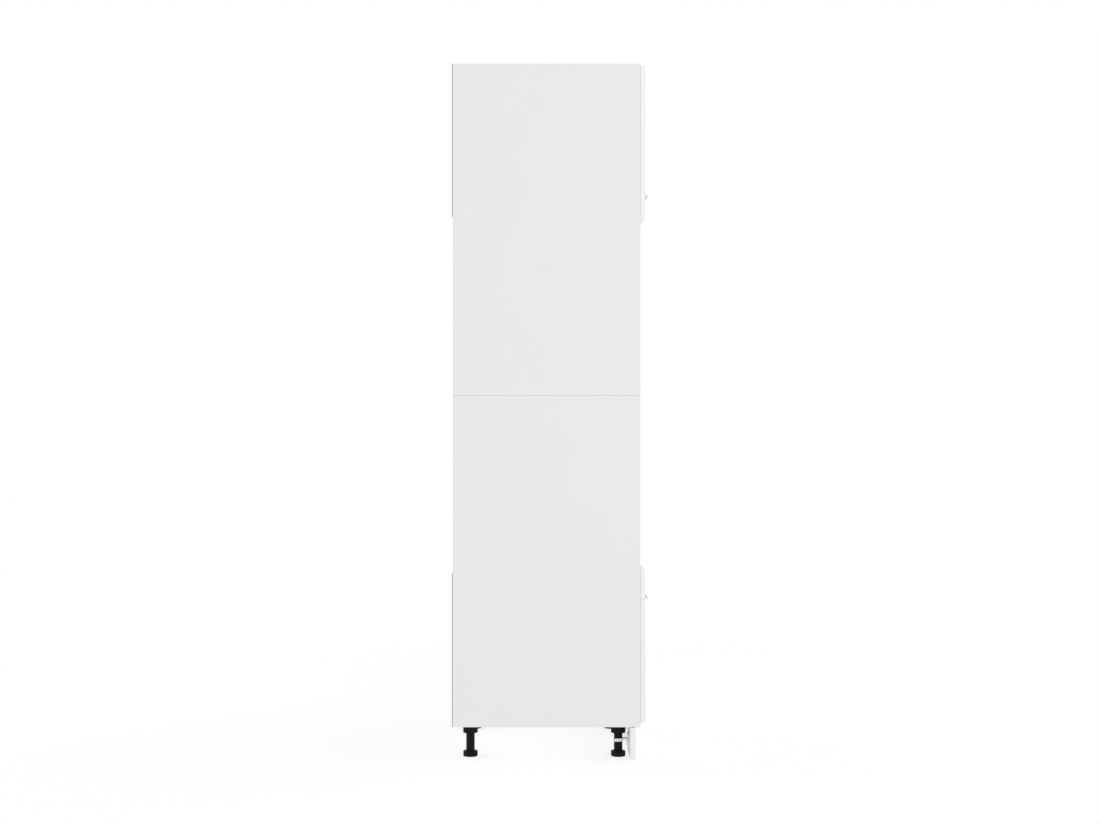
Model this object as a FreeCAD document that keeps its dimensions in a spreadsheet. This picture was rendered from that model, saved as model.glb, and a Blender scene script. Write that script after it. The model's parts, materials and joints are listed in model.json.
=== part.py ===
import FreeCAD, Part
import Sketcher
import os
import re

# Tall kitchen cabinet for a built-in oven with a compact appliance above it.
# X runs across the width, the fronts face -Y, Z is up and the feet stand on Z = 0.

SIZES = [
    ("width", 600, "outer width of the carcass"),
    ("carcass_depth", 560, "side board and back panel together"),
    ("height", 2070, "floor to top"),
    ("leg_height", 100, "floor to underside of the carcass"),
    ("board", 16, "thickness of every carcass board"),
    ("back_thick", 3, "thin back panel"),
    ("seam_drop", 65, "seam of each split side below the appliance shelf"),
    ("seam_gap", 0.6, "hairline between the two side boards"),
    ("lower_box_height", 460, "carcass underside to the top of the oven base"),
    ("oven_niche", 590, "clear height for the oven"),
    ("upper_box_height", 458, "underside of the upper cupboard to the top"),
    ("back_lap", 12, "how far a back panel laps onto the board at its free edge"),
    ("door_thick", 17, "slab front"),
    ("door_gap", 0.5, "between front and carcass"),
    ("door_reveal", 2, "front set in from the outer side face"),
    ("door_height", 456, "both fronts"),
    ("upper_door_drop", 4.5, "top of the carcass to the top of the upper front"),
    ("lower_door_lift", 11, "underside of the carcass to the lower front"),
    ("door_round", 7, "rounding of the front's outer edge"),
    ("rail_lip", 5.5, "how far a grip rail stands proud of its front"),
    ("rail_wall", 2.2, "wall of the grip rail"),
    ("rail_nib", 4.6, "height of the hooked lip"),
    ("rail_tongue", 9, "part of the rail sunk into its groove"),
    ("rail_fit", 0.1, "clearance of the tongue in its groove"),
    ("upper_rail_inset", 73, "lower edge of the upper front to its rail"),
    ("lower_rail_inset", 87, "upper edge of the lower front to its rail"),
    ("strip_depth", 3.6, "finger strip between the rail and the near edge of its front"),
    ("shelf_setback", 12, "loose shelf behind the carcass front"),
    ("shelf_play", 1, "loose shelf to the side boards"),
    ("shelf_pin_radius", 2.5, "pin under a loose shelf"),
    ("shelf_pin_depth", 9, "pin sunk into the side board"),
    ("shelf_pin_reach", 8, "pin standing out of the side board"),
    ("pin_front_line", 60, "front column of pin holes behind the carcass front"),
    ("pin_back_line", 70, "back column of pin holes ahead of the back panel"),
    ("pin_pitch", 32, "spacing of the pin holes"),
    ("pin_fit", 0.1, "clearance round a shelf pin"),
    ("lower_pin_height", 225, "oven base cupboard: carcass underside to its pins"),
    ("upper_pin_height", 235, "upper cupboard: its underside to its pins"),
    ("cam_radius", 7.5, "locking cam in a horizontal board"),
    ("cam_depth", 12.5, "locking cam in a horizontal board"),
    ("cam_inset", 34, "cam axis to the board's end"),
    ("cam_line", 50, "cam axis to the board's front and back edges"),
    ("cam_bolt_radius", 3.2, "bolt that a cam draws in"),
    ("cam_bolt_sink", 10, "bolt screwed into the side board"),
    ("cam_fit", 0.15, "clearance round cams and bolts"),
    ("splice_thick", 2, "steel plate across the side seam"),
    ("splice_width", 40, "steel plate across the side seam"),
    ("splice_shelf_gap", 10, "splice plate to the appliance shelf"),
    ("splice_line", 90, "splice plate to the front and back edges"),
    ("leg_side_inset", 75, "leg axis to the outer side face"),
    ("leg_front_inset", 62, "leg axis to the carcass front"),
    ("leg_back_inset", 50, "leg axis to the back of the side board"),
    ("socket_radius", 22, "leg socket under the carcass"),
    ("socket_height", 29, "leg socket under the carcass"),
    ("tube_radius", 12.8, "leg tube"),
    ("stem_radius", 8, "threaded stem of the foot"),
    ("stem_fit", 0.1, "clearance of the stem in the tube"),
    ("stem_length", 46, "stem above the foot"),
    ("foot_radius", 21.8, "foot on the floor"),
    ("foot_height", 20, "foot on the floor"),
    ("foot_bevel", 3, "foot on the floor"),
    ("foot_shoulder", 1.5, "foot on the floor"),
    ("foot_stop_gap", 0.3, "foot to tube when fully screwed in"),
    ("stem_room", 2, "tube bore above the stem"),
    ("plinth_setback", 14, "plinth behind the carcass front"),
    ("plinth_floor_gap", 4, "plinth above the floor"),
    ("plinth_top_gap", 2, "plinth below the carcass"),
    ("clip_plate_height", 27, "clip plate on the back of the plinth"),
    ("clip_plate_thick", 3, "clip plate on the back of the plinth"),
    ("clip_wall", 3, "prong of the clip fork"),
    ("clip_height", 11.5, "fork of the clip"),
    ("clip_low", 43, "fork and plate of the clip above the floor"),
    ("clip_reach", 12, "prongs beyond the leg's axis"),
    ("clip_arm_width", 18, "arm from the clip's plate to its fork"),
    ("clip_arm_height", 4, "arm from the clip's plate to its fork"),
    ("clip_fit", 0.3, "fork to leg tube"),
    ("hinge_inset", 110, "hinge centre to the end of its front away from the rail"),
    ("hinge_rail_gap", 32, "hinge centre to the grip rail"),
    ("cup_radius", 17.5, "bore in the front for the hinge cup"),
    ("cup_depth", 12.5, "bore in the front for the hinge cup"),
    ("cup_line", 22.5, "cup axis to the hinge edge of the front"),
    ("cup_fit", 0.2, "clearance round the cup"),
    ("cup_wall", 1.2, "pressed steel of the cup"),
    ("cup_flange_back", 8, "flange from the cup axis towards the side board"),
    ("cup_flange_reach", 13, "flange from the cup axis into the cupboard"),
    ("cup_flange_length", 60, "flange of the cup"),
    ("cup_flange_thick", 1, "flange of the cup"),
    ("cup_screw_spacing", 48, "screws of the cup"),
    ("cup_screw_offset", 6, "screws of the cup behind its axis"),
    ("screw_radius", 1.8, "chipboard screws of the hinges"),
    ("screw_head_radius", 3.4, "chipboard screws of the hinges"),
    ("screw_head_height", 1.6, "chipboard screws of the hinges"),
    ("screw_length", 11, "chipboard screws of the hinges"),
    ("screw_fit", 0.1, "clearance round a screw"),
    ("arm_pin_inset", 23, "arm pivot to the inner face of the side"),
    ("arm_pin_back", 4, "arm pivot behind the carcass front"),
    ("cup_pin_inset", 11.5, "cup pivot to the hinge edge of the front"),
    ("cup_pin_depth", 4.5, "cup pivot below the back of the front"),
    ("knee_inset", 18.5, "bend of the link to the hinge edge of the front"),
    ("knee_depth", 8.3, "bend of the link below the back of the front"),
    ("hinge_pin_radius", 1.5, "rivet pin of the hinge"),
    ("hinge_pin_fit", 0.1, "running clearance on a rivet pin"),
    ("link_eye_radius", 3, "rolled eye of the link"),
    ("link_half_width", 1.8, "half the width of the link bar"),
    ("link_height", 7, "link along its pins"),
    ("link_room", 0.5, "link to the cheeks of the arm"),
    ("cheek", 1.6, "cheek of the hinge arm"),
    ("arm_lift", 11, "underside of the arm above the side board"),
    ("arm_top", 26, "outside of the arm above the side board"),
    ("arm_start", 22, "rear part of the arm behind the carcass front"),
    ("arm_end", 62, "rear end of the arm behind the carcass front"),
    ("arm_nose", 3.2, "arm beyond its pivot"),
    ("arm_slope", 8, "slope from the rear part of the arm to its nose"),
    ("plate_step", 2, "rear part of the arm beyond each end of the plate under it"),
    ("plate_wing_thick", 2.5, "mounting plate on the side board"),
    ("plate_wing_length", 50, "mounting plate on the side board"),
    ("plate_wing_width", 14, "mounting plate on the side board"),
    ("plate_screw_line", 37, "screws of the mounting plate behind the carcass front"),
    ("plate_screw_spacing", 32, "screws of the mounting plate"),
    ("bumper_radius", 4, "soft stop on the back of a front"),
    ("bumper_thick", 0.4, "soft stop on the back of a front"),
    ("bumper_inset", 8, "soft stop to the edges of the front"),
]

doc = FreeCAD.newDocument("TallCabinet")
sheet = doc.addObject("Spreadsheet::Sheet", "Sizes")
for row, (alias, value, note) in enumerate(SIZES, start=1):
    sheet.set("A%d" % row, alias)
    sheet.set("B%d" % row, str(value))
    sheet.setAlias("B%d" % row, alias)
    sheet.set("C%d" % row, note)
doc.recompute()
ALIASES = {alias for alias, value, note in SIZES}


def sized(text):
    # Turns bare size names in an expression into cells of the sheet.
    return re.sub(r"[a-z_]+", lambda found: "Sizes." + found.group() if found.group() in ALIASES
                  else found.group(), str(text))


def bind(obj, prop, text):
    obj.setExpression(prop, sized(text))


def place(obj, x, y, z):
    bind(obj, "Placement.Base.x", x)
    bind(obj, "Placement.Base.y", y)
    bind(obj, "Placement.Base.z", z)
    return obj


def turn(obj, axis, angle):
    obj.Placement.Rotation = FreeCAD.Rotation(FreeCAD.Vector(*axis), angle)
    return obj


ALONG_X = ((0, 1, 0), 90)
ALONG_Y = ((1, 0, 0), -90)
CAM_SIDES = 12
BOLT_SIDES = 6
PIN_SIDES = 8
SCREW_SIDES = 8
RIVET_SIDES = 12

# Places that many pieces share, as expressions of the sheet's sizes.
FRONT = "((door_gap + door_thick + rail_lip - carcass_depth) / 2)"
BACK = "((door_gap + door_thick + rail_lip + carcass_depth) / 2)"
SIDE_BACK = "(%s - back_thick)" % BACK
SIDE_DEPTH = "(carcass_depth - back_thick)"
INNER = "(width / 2 - board)"
INNER_WIDTH = "(width - 2 * board)"
DOOR_BACK = "(%s - door_gap)" % FRONT
DOOR_LEFT = "(door_reveal - width / 2)"
DOOR_WIDTH = "(width - 2 * door_reveal)"
OVEN_BASE_TOP = "(leg_height + lower_box_height)"
OVEN_TOP = "(%s + oven_niche)" % OVEN_BASE_TOP
UPPER_BOX = "(height - upper_box_height)"
SEAM = "(%s - seam_drop)" % OVEN_TOP
UPPER_DOOR = "(height - upper_door_drop - door_height)"
LOWER_DOOR = "(leg_height + lower_door_lift)"

nodes = []


def finish(obj, label):
    obj.Label = label
    nodes.append(obj)
    return obj


def box(name, length, width, height, x, y, z):
    obj = doc.addObject("Part::Box", name)
    bind(obj, "Length", length)
    bind(obj, "Width", width)
    bind(obj, "Height", height)
    return place(obj, x, y, z)


def cylinder(name, radius, length, x, y, z, rotation=None):
    obj = doc.addObject("Part::Cylinder", name)
    bind(obj, "Radius", radius)
    bind(obj, "Height", length)
    if rotation:
        turn(obj, *rotation)
    return place(obj, x, y, z)


def prism(name, sides, radius, length, x, y, z, rotation=None):
    # A small fitting or its hole, as a many-sided bar across the given radius.
    obj = doc.addObject("Part::Prism", name)
    obj.Polygon = sides
    bind(obj, "Circumradius", radius)
    bind(obj, "Height", length)
    if rotation:
        turn(obj, *rotation)
    return place(obj, x, y, z)


def group(name, members, kind="Part::Compound"):
    obj = doc.addObject(kind, name)
    if kind == "Part::Compound":
        obj.Links = members
    else:
        obj.Shapes = members
    return obj


def fuse(name, members):
    return group(name, members, "Part::MultiFuse")


def cut(name, base, tools):
    obj = doc.addObject("Part::Cut", name)
    obj.Base = base
    obj.Tool = tools[0] if len(tools) == 1 else group(name + "_tools", tools)
    return obj


def outline(body, role, points):
    # A closed sketch through points, each held by two distances from the sketch origin.
    sketch = body.newObject("Sketcher::SketchObject", body.Name + "_outline")
    plane = [f for f in body.Origin.OriginFeatures if f.Role == role][0]
    sketch.AttachmentSupport = (plane, [""])
    sketch.MapMode = "FlatFace"
    count = len(points)
    start = [FreeCAD.Vector(10 * i, i * i, 0) for i in range(count)]
    for i in range(count):
        sketch.addGeometry(Part.LineSegment(start[i], start[(i + 1) % count]), False)
    for i in range(count):
        sketch.addConstraint(Sketcher.Constraint("Coincident", i, 2, (i + 1) % count, 1))
    for i, pair in enumerate(points):
        for kind, text in zip(("DistanceX", "DistanceY"), pair):
            value = measure(text)
            number = sketch.addConstraint(Sketcher.Constraint(kind, -1, 1, i, 1, value))
            name = "%s%d" % (kind, i)
            sketch.renameConstraint(number, name)
            sketch.setExpression("Constraints." + name, sized(text))
    return sketch


def measure(text):
    # The present value of an expression, for a sketch's first guess.
    words = re.sub(r"[a-z_]+", lambda found: repr(float(sheet.get(found.group()))), str(text))
    return float(FreeCAD.Units.Quantity(words).Value)


def padded(name, role, points, length):
    body = doc.addObject("PartDesign::Body", name)
    sketch = outline(body, role, points)
    pad = body.newObject("PartDesign::Pad", name + "_pad")
    pad.Profile = sketch
    bind(pad, "Length", length)
    return body


def revolved(name, points):
    # Points are radius and height; the profile turns about the body's own Z axis.
    body = doc.addObject("PartDesign::Body", name)
    sketch = outline(body, "XZ_Plane", points)
    ring = body.newObject("PartDesign::Revolution", name + "_ring")
    ring.Profile = sketch
    ring.ReferenceAxis = (sketch, ["V_Axis"])
    ring.Angle = 360
    return body


def cam_lines():
    # Front and back lines of the cam fittings, across the depth.
    return [("front", "(%s + cam_line)" % FRONT), ("back", "(%s - cam_line)" % SIDE_BACK)]


CAM_SLOT = "(cam_bolt_radius + cam_fit)"
cams = []
cam_bolts = []
bolt_holes = {"left": [], "right": []}


def horizontal_board(label, underside, cam_from_below):
    # A fixed board between the sides, drawn up to them by two cams at each end.
    board_box = box(label + "_board", INNER_WIDTH, SIDE_DEPTH, "board", "-" + INNER, FRONT, underside)
    holes = []
    middle = "(%s + board / 2)" % underside
    base = underside if cam_from_below else "(%s + board - cam_depth)" % underside
    for side, sign in (("left", "-1"), ("right", "1")):
        for line, y in cam_lines():
            tag = "%s_%s_%s" % (label, side, line)
            x = "%s * (%s - cam_inset)" % (sign, INNER)
            holes.append(prism(tag + "_cam_hole", CAM_SIDES, "cam_radius + cam_fit", "cam_depth", x, y, base))
            cam = prism(tag + "_cam", CAM_SIDES, "cam_radius", "cam_depth", x, y, base)
            slot = box(tag + "_slot", "cam_radius", "2 * " + CAM_SLOT, "2 * " + CAM_SLOT,
                       x if side == "right" else x + " - cam_radius", "%s - %s" % (y, CAM_SLOT),
                       "%s - %s" % (middle, CAM_SLOT))
            cams.append(cut(tag + "_cam_cut", cam, [slot]))
            # The bolt runs from inside the side board to the middle of the cam.
            reach = "cam_inset + cam_bolt_sink"
            bolt_x = x if side == "right" else "-%s - cam_bolt_sink" % INNER
            cam_bolts.append(prism(tag + "_bolt", BOLT_SIDES, "cam_bolt_radius", reach, bolt_x, y, middle,
                                   ALONG_X))
            hole_x = x if side == "right" else "-%s - cam_bolt_sink - cam_fit" % INNER
            hole = prism(tag + "_bolt_hole", BOLT_SIDES, CAM_SLOT, reach + " + cam_fit", hole_x, y, middle,
                         ALONG_X)
            holes.append(hole)
            bolt_holes[side].append(hole)
    return finish(cut(label, board_box, holes), label)


horizontal_board("bottom_panel", "leg_height", False)
horizontal_board("oven_base_panel", "(%s - board)" % OVEN_BASE_TOP, True)
horizontal_board("appliance_shelf", OVEN_TOP, True)
horizontal_board("upper_cupboard_base", UPPER_BOX, False)
horizontal_board("top_panel", "(height - board)", True)

# Loose shelves on pins, with spare pin holes above and below.
shelf_pins = []
pin_holes = {"left": [], "right": []}


def loose_shelf(label, pin_z):
    for side, sign in (("left", "-1"), ("right", "1")):
        for line, y in (("front", "(%s + pin_front_line)" % FRONT),
                        ("back", "(%s - pin_back_line)" % SIDE_BACK)):
            tag = "%s_%s_%s" % (label, side, line)
            x = INNER + " - shelf_pin_reach" if side == "right" else "-%s - shelf_pin_depth" % INNER
            shelf_pins.append(prism(tag + "_pin", PIN_SIDES, "shelf_pin_radius",
                                    "shelf_pin_depth + shelf_pin_reach", x, y, pin_z, ALONG_X))
            for step in (-1, 0, 1):
                hole_x = INNER if side == "right" else "-%s - shelf_pin_depth - pin_fit" % INNER
                pin_holes[side].append(prism("%s_hole%d" % (tag, step + 1), PIN_SIDES,
                                             "shelf_pin_radius + pin_fit", "shelf_pin_depth + pin_fit", hole_x,
                                             y, "%s + %d * pin_pitch" % (pin_z, step), ALONG_X))
    shelf = box(label + "_board", INNER_WIDTH + " - 2 * shelf_play", SIDE_DEPTH + " - shelf_setback", "board",
                "shelf_play - " + INNER, FRONT + " + shelf_setback", pin_z + " + shelf_pin_radius")
    return finish(shelf, label)


loose_shelf("lower_loose_shelf", "(leg_height + lower_pin_height)")
loose_shelf("upper_loose_shelf", "(%s + upper_pin_height)" % UPPER_BOX)
finish(group("shelf_pins", shelf_pins), "shelf_pins")
finish(group("cam_locks", cams), "cam_locks")
finish(group("cam_bolts", cam_bolts), "cam_bolts")

# Hinge places shared by the fronts, the cups, the links and the arms.
CUP_X = "(%s + cup_line)" % DOOR_LEFT
CUP_PIN = ("(%s + cup_pin_inset)" % DOOR_LEFT, "(%s - cup_pin_depth)" % DOOR_BACK)
KNEE = ("(%s + knee_inset)" % DOOR_LEFT, "(%s - knee_depth)" % DOOR_BACK)
ARM_PIN = ("(arm_pin_inset - %s)" % INNER, "(%s + arm_pin_back)" % FRONT)
CUP_INNER = "(cup_radius - cup_fit - cup_wall)"


def bar(name, start, end, half_width, length, z):
    # A flat bar from one point to another, seen from above.
    obj = doc.addObject("Part::Box", name)
    dx = "(%s - %s)" % (end[0], start[0])
    dy = "(%s - %s)" % (end[1], start[1])
    run = "sqrt(%s ^ 2 + %s ^ 2)" % (dx, dy)
    bind(obj, "Length", run)
    bind(obj, "Width", "2 * " + half_width)
    bind(obj, "Height", length)
    obj.Placement.Rotation = FreeCAD.Rotation(FreeCAD.Vector(0, 0, 1), 0)
    bind(obj, "Placement.Rotation.Angle", "atan2(%s; %s)" % (dy, dx))
    return place(obj, "%s + %s * %s / %s" % (start[0], half_width, dy, run),
                 "%s - %s * %s / %s" % (start[1], half_width, dx, run), z)


def screw(name, x, y, z, along):
    # A pan-head screw with the underside of its head at the given place, and its hole.
    step_x = " - screw_length" if along is ALONG_X else ""
    step_y = " - screw_length" if along is ALONG_Y else ""
    shank = prism(name + "_shank", SCREW_SIDES, "screw_radius", "screw_length", x + step_x, y + step_y, z,
                  along)
    head = prism(name + "_head", SCREW_SIDES, "screw_head_radius", "screw_head_height", x, y, z, along)
    fit_x = " - screw_fit" if along is ALONG_X else ""
    fit_y = " - screw_fit" if along is ALONG_Y else ""
    hole = prism(name + "_hole", SCREW_SIDES, "screw_radius + screw_fit", "screw_length + screw_fit",
                 x + step_x + fit_x, y + step_y + fit_y, z, along)
    return fuse(name, [shank, head]), hole


def hinge_cup(tag, z):
    # Pressed cup with its flange and two screws; returns the screws and their holes.
    shell = revolved(tag + "_cup_shell", [
        ("0", "cup_fit - cup_depth"), ("cup_radius - cup_fit", "cup_fit - cup_depth"),
        ("cup_radius - cup_fit", "0"), (CUP_INNER, "0"),
        (CUP_INNER, "cup_fit + cup_wall - cup_depth"), ("0", "cup_fit + cup_wall - cup_depth")])
    turn(shell, *ALONG_Y)
    place(shell, CUP_X, DOOR_BACK, z)
    flange = box(tag + "_cup_flange", "cup_flange_back + cup_flange_reach", "cup_flange_thick",
                 "cup_flange_length", CUP_X + " - cup_flange_back", DOOR_BACK, z + " - cup_flange_length / 2")
    mouth = cylinder(tag + "_cup_mouth", CUP_INNER, "cup_flange_thick", CUP_X, DOOR_BACK, z, ALONG_Y)
    pin_hole = cylinder(tag + "_cup_pin_hole", "hinge_pin_radius + hinge_pin_fit", "2 * cup_radius", *CUP_PIN,
                        z + " - cup_radius")
    pairs = [screw("%s_cup_screw%d" % (tag, end + 1), CUP_X + " + cup_screw_offset",
                   DOOR_BACK + " + cup_flange_thick", "%s + %d * cup_screw_spacing / 2" % (z, end), ALONG_Y)
             for end in (-1, 1)]
    holes = [hole for body, hole in pairs]
    shape = fuse(tag + "_cup_shape", [shell, flange])
    finish(cut(tag + "_cup", shape, [mouth, pin_hole] + holes), tag + "_cup")
    return [body for body, hole in pairs], holes


def hinge_link(tag, z):
    # Bent link that carries the front, with an eye round each rivet pin.
    low = "%s - link_height / 2" % z
    bars = [prism(tag + "_link_cup_eye", RIVET_SIDES, "link_eye_radius", "link_height", *CUP_PIN, low),
            prism(tag + "_link_arm_eye", RIVET_SIDES, "link_eye_radius", "link_height", *ARM_PIN, low),
            cylinder(tag + "_link_knee", "link_half_width", "link_height", *KNEE, low),
            bar(tag + "_link_inner", CUP_PIN, KNEE, "link_half_width", "link_height", low),
            bar(tag + "_link_outer", KNEE, ARM_PIN, "link_half_width", "link_height", low)]
    eyes = [prism("%s_link_hole_%s" % (tag, end), RIVET_SIDES, "hinge_pin_radius + hinge_pin_fit",
                  "link_height", *spot, low) for end, spot in (("cup", CUP_PIN), ("arm", ARM_PIN))]
    finish(cut(tag + "_link", fuse(tag + "_link_shape", bars), eyes), tag + "_link")


def hinge_arm(tag, z):
    # Arm that forks round the link, on a screwed plate; returns the plate's screws and their holes.
    wall = "-%s" % INNER
    low = "%s - %s" % (z, ARM_HALF)
    arm = padded(tag + "_arm_block", "XY_Plane", [
        ("arm_lift", "arm_start"), ("arm_pin_inset - arm_nose", "arm_start - arm_slope"),
        ("arm_pin_inset - arm_nose", "arm_pin_back - arm_nose"), ("arm_top", "arm_pin_back - arm_nose"),
        ("arm_top", "arm_end"), ("arm_lift", "arm_end")], "2 * " + ARM_HALF)
    place(arm, wall, FRONT, low)
    room = box(tag + "_arm_room", "2 * arm_top", "arm_start - arm_pin_back", "link_height + 2 * link_room",
               wall, ARM_PIN[1] + " - 2 * arm_nose", "%s - link_height / 2 - link_room" % z)
    pivot = prism(tag + "_arm_pin_hole", RIVET_SIDES, "hinge_pin_radius + hinge_pin_fit", "2 * " + ARM_HALF,
                  *ARM_PIN, low)
    finish(cut(tag + "_arm", arm, [room, pivot]), tag + "_arm")

    wing = box(tag + "_plate_wing", "plate_wing_thick", "plate_wing_width", "plate_wing_length", wall,
               FRONT + " + plate_screw_line - plate_wing_width / 2", z + " - plate_wing_length / 2")
    rise = box(tag + "_plate_rise", "arm_lift", "arm_end - arm_start - 2 * plate_step", "2 * " + ARM_HALF, wall,
               FRONT + " + arm_start + plate_step", low)
    pairs = [screw("%s_plate_screw%d" % (tag, end + 1), wall + " + plate_wing_thick",
                   FRONT + " + plate_screw_line", "%s + %d * plate_screw_spacing / 2" % (z, end), ALONG_X)
             for end in (-1, 1)]
    holes = [hole for body, hole in pairs]
    finish(cut(tag + "_plate", fuse(tag + "_plate_shape", [wing, rise]), holes), tag + "_plate")
    return [body for body, hole in pairs], holes


ARM_HALF = "(link_height / 2 + link_room + cheek)"
CUP_PIN_HALF = "sqrt((cup_radius - cup_fit) ^ 2 - (cup_line - cup_pin_inset + hinge_pin_radius) ^ 2)"
plate_screws = []
plate_screw_holes = []
fronts = []
for level, low, inset, up in (("upper", UPPER_DOOR, "upper_rail_inset", 1),
                              ("lower", LOWER_DOOR, "lower_rail_inset", -1)):
    near_rail = "(%s + hinge_rail_gap)" % inset
    ends = (near_rail, "hinge_inset") if up > 0 else ("hinge_inset", near_rail)
    heights = ["(%s + %s)" % (low, ends[0]), "(%s + door_height - %s)" % (low, ends[1])]
    arm_pins = []
    cup_pins = []
    cup_screws = []
    front_holes = []
    for spot, z in zip(("low", "high"), heights):
        tag = "%s_hinge_%s" % (level, spot)
        screws, holes = hinge_cup(tag, z)
        cup_screws += screws
        front_holes += holes
        front_holes.append(cylinder(tag + "_bore", "cup_radius", "cup_depth", CUP_X, DOOR_BACK + " - cup_depth",
                                    z, ALONG_Y))
        hinge_link(tag, z)
        screws, holes = hinge_arm(tag, z)
        plate_screws += screws
        plate_screw_holes += holes
        arm_pins.append(prism(tag + "_arm_pin", RIVET_SIDES, "hinge_pin_radius", "2 * " + ARM_HALF, *ARM_PIN,
                              "%s - %s" % (z, ARM_HALF)))
        cup_pins.append(prism(tag + "_cup_pin", RIVET_SIDES, "hinge_pin_radius", "2 * " + CUP_PIN_HALF,
                              *CUP_PIN, "%s - %s" % (z, CUP_PIN_HALF)))
    finish(group(level + "_arm_pins", arm_pins), level + "_hinge_arm_pins")
    finish(group(level + "_cup_pins", cup_pins), level + "_hinge_cup_pins")
    finish(group(level + "_cup_screws", cup_screws), level + "_hinge_cup_screws")
    fronts.append((level, low, inset, up, front_holes))
finish(group("plate_screws", plate_screws), "hinge_plate_screws")

# Split side boards; only the left one carries hinges.
for side, x, holes in (("left", "-width / 2", plate_screw_holes), ("right", INNER, [])):
    holes = holes + bolt_holes[side] + pin_holes[side]
    lower = box("lower_%s_board" % side, "board", SIDE_DEPTH, SEAM + " - leg_height - seam_gap", x, FRONT,
                "leg_height")
    finish(cut("lower_%s_side" % side, lower, holes), "lower_%s_side" % side)
    upper = box("upper_%s_board" % side, "board", SIDE_DEPTH, "height - " + SEAM, x, FRONT, SEAM)
    finish(cut("upper_%s_side" % side, upper, holes), "upper_%s_side" % side)

# Steel plates that splice each split side, on its inner face.
splices = []
SPLICE_HALF = "(seam_drop - splice_shelf_gap)"
for side, x in (("left", "-" + INNER), ("right", INNER + " - splice_thick")):
    for line, y in (("front", "(%s + splice_line)" % FRONT), ("back", "(%s - splice_line)" % SIDE_BACK)):
        splices.append(box("splice_%s_%s" % (side, line), "splice_thick", "splice_width", "2 * " + SPLICE_HALF,
                           x, y + " - splice_width / 2", "%s - %s" % (SEAM, SPLICE_HALF)))
finish(group("splice_plates", splices), "splice_plates")

# Thin back panels behind the two cupboards; the appliance niche stays open behind.
finish(box("lower_back", "width", "back_thick", "lower_box_height - board + back_lap", "-width / 2",
           SIDE_BACK, "leg_height"), "lower_back_panel")
finish(box("upper_back", "width", "back_thick", "upper_box_height - board + back_lap", "-width / 2",
           SIDE_BACK, "height - (upper_box_height - board + back_lap)"), "upper_back_panel")

# Legs: a socket with its tube, and a foot whose stem screws up into the tube.
LEG_FRONT = "(%s + leg_front_inset)" % FRONT
LEG_BACK = "(%s - leg_back_inset)" % SIDE_BACK
TUBE_END = "(foot_height + foot_stop_gap)"
BORE = "(stem_radius + stem_fit)"
BORE_TOP = "(foot_height + stem_length + stem_room)"
for side, sign in (("left", "-1"), ("right", "1")):
    for line, y in (("front", LEG_FRONT), ("rear", LEG_BACK)):
        x = "%s * (width / 2 - leg_side_inset)" % sign
        tag = "%s_%s" % (line, side)
        tube = revolved("leg_" + tag, [
            (BORE, TUBE_END), ("tube_radius", TUBE_END), ("tube_radius", "leg_height - socket_height"),
            ("socket_radius", "leg_height - socket_height"), ("socket_radius", "leg_height"),
            ("0", "leg_height"), ("0", BORE_TOP), (BORE, BORE_TOP)])
        finish(place(tube, x, y, "0"), "leg_" + tag)
        foot = revolved("foot_" + tag, [
            ("0", "0"), ("foot_radius - foot_bevel", "0"), ("foot_radius", "foot_bevel"),
            ("foot_radius", "foot_height - foot_shoulder"), ("foot_radius - foot_shoulder", "foot_height"),
            ("stem_radius", "foot_height"),
            ("stem_radius", "foot_height + stem_length"), ("0", "foot_height + stem_length")])
        finish(place(foot, x, y, "0"), "foot_" + tag)

# Plinth board and the two forked clips that hold it on the front legs.
PLINTH_BACK = "(%s + plinth_setback + board)" % FRONT
finish(box("plinth_board", DOOR_WIDTH, "board", "leg_height - plinth_floor_gap - plinth_top_gap", DOOR_LEFT,
           FRONT + " + plinth_setback", "plinth_floor_gap"), "plinth")
clips = []
FORK_HALF = "(tube_radius + clip_fit + clip_wall)"
for side, sign in (("left", "-1"), ("right", "1")):
    x = "%s * (width / 2 - leg_side_inset)" % sign
    plate = box("clip_plate_" + side, "2 * " + FORK_HALF, "clip_plate_thick", "clip_plate_height",
                "%s - %s" % (x, FORK_HALF), PLINTH_BACK, "clip_low")
    arm = box("clip_arm_" + side, "clip_arm_width", "%s - %s" % (LEG_FRONT, PLINTH_BACK), "clip_arm_height",
              "%s - clip_arm_width / 2" % x, PLINTH_BACK, "clip_low + clip_height - clip_arm_height")
    ring = cylinder("clip_ring_" + side, FORK_HALF, "clip_height", x, LEG_FRONT, "clip_low")
    prongs = box("clip_prongs_" + side, "2 * " + FORK_HALF, "clip_reach", "clip_height",
                 "%s - %s" % (x, FORK_HALF), LEG_FRONT, "clip_low")
    throat = cylinder("clip_throat_" + side, "tube_radius + clip_fit", "clip_height", x, LEG_FRONT, "clip_low")
    mouth = box("clip_mouth_" + side, "2 * (tube_radius + clip_fit)", FORK_HALF, "clip_height",
                "%s - tube_radius - clip_fit" % x, LEG_FRONT, "clip_low")
    shape = fuse("clip_shape_" + side, [plate, arm, ring, prongs])
    clips.append(cut("clip_" + side, shape, [fuse("clip_way_" + side, [throat, mouth])]))
finish(group("plinth_clips", clips), "plinth_clips")


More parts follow.
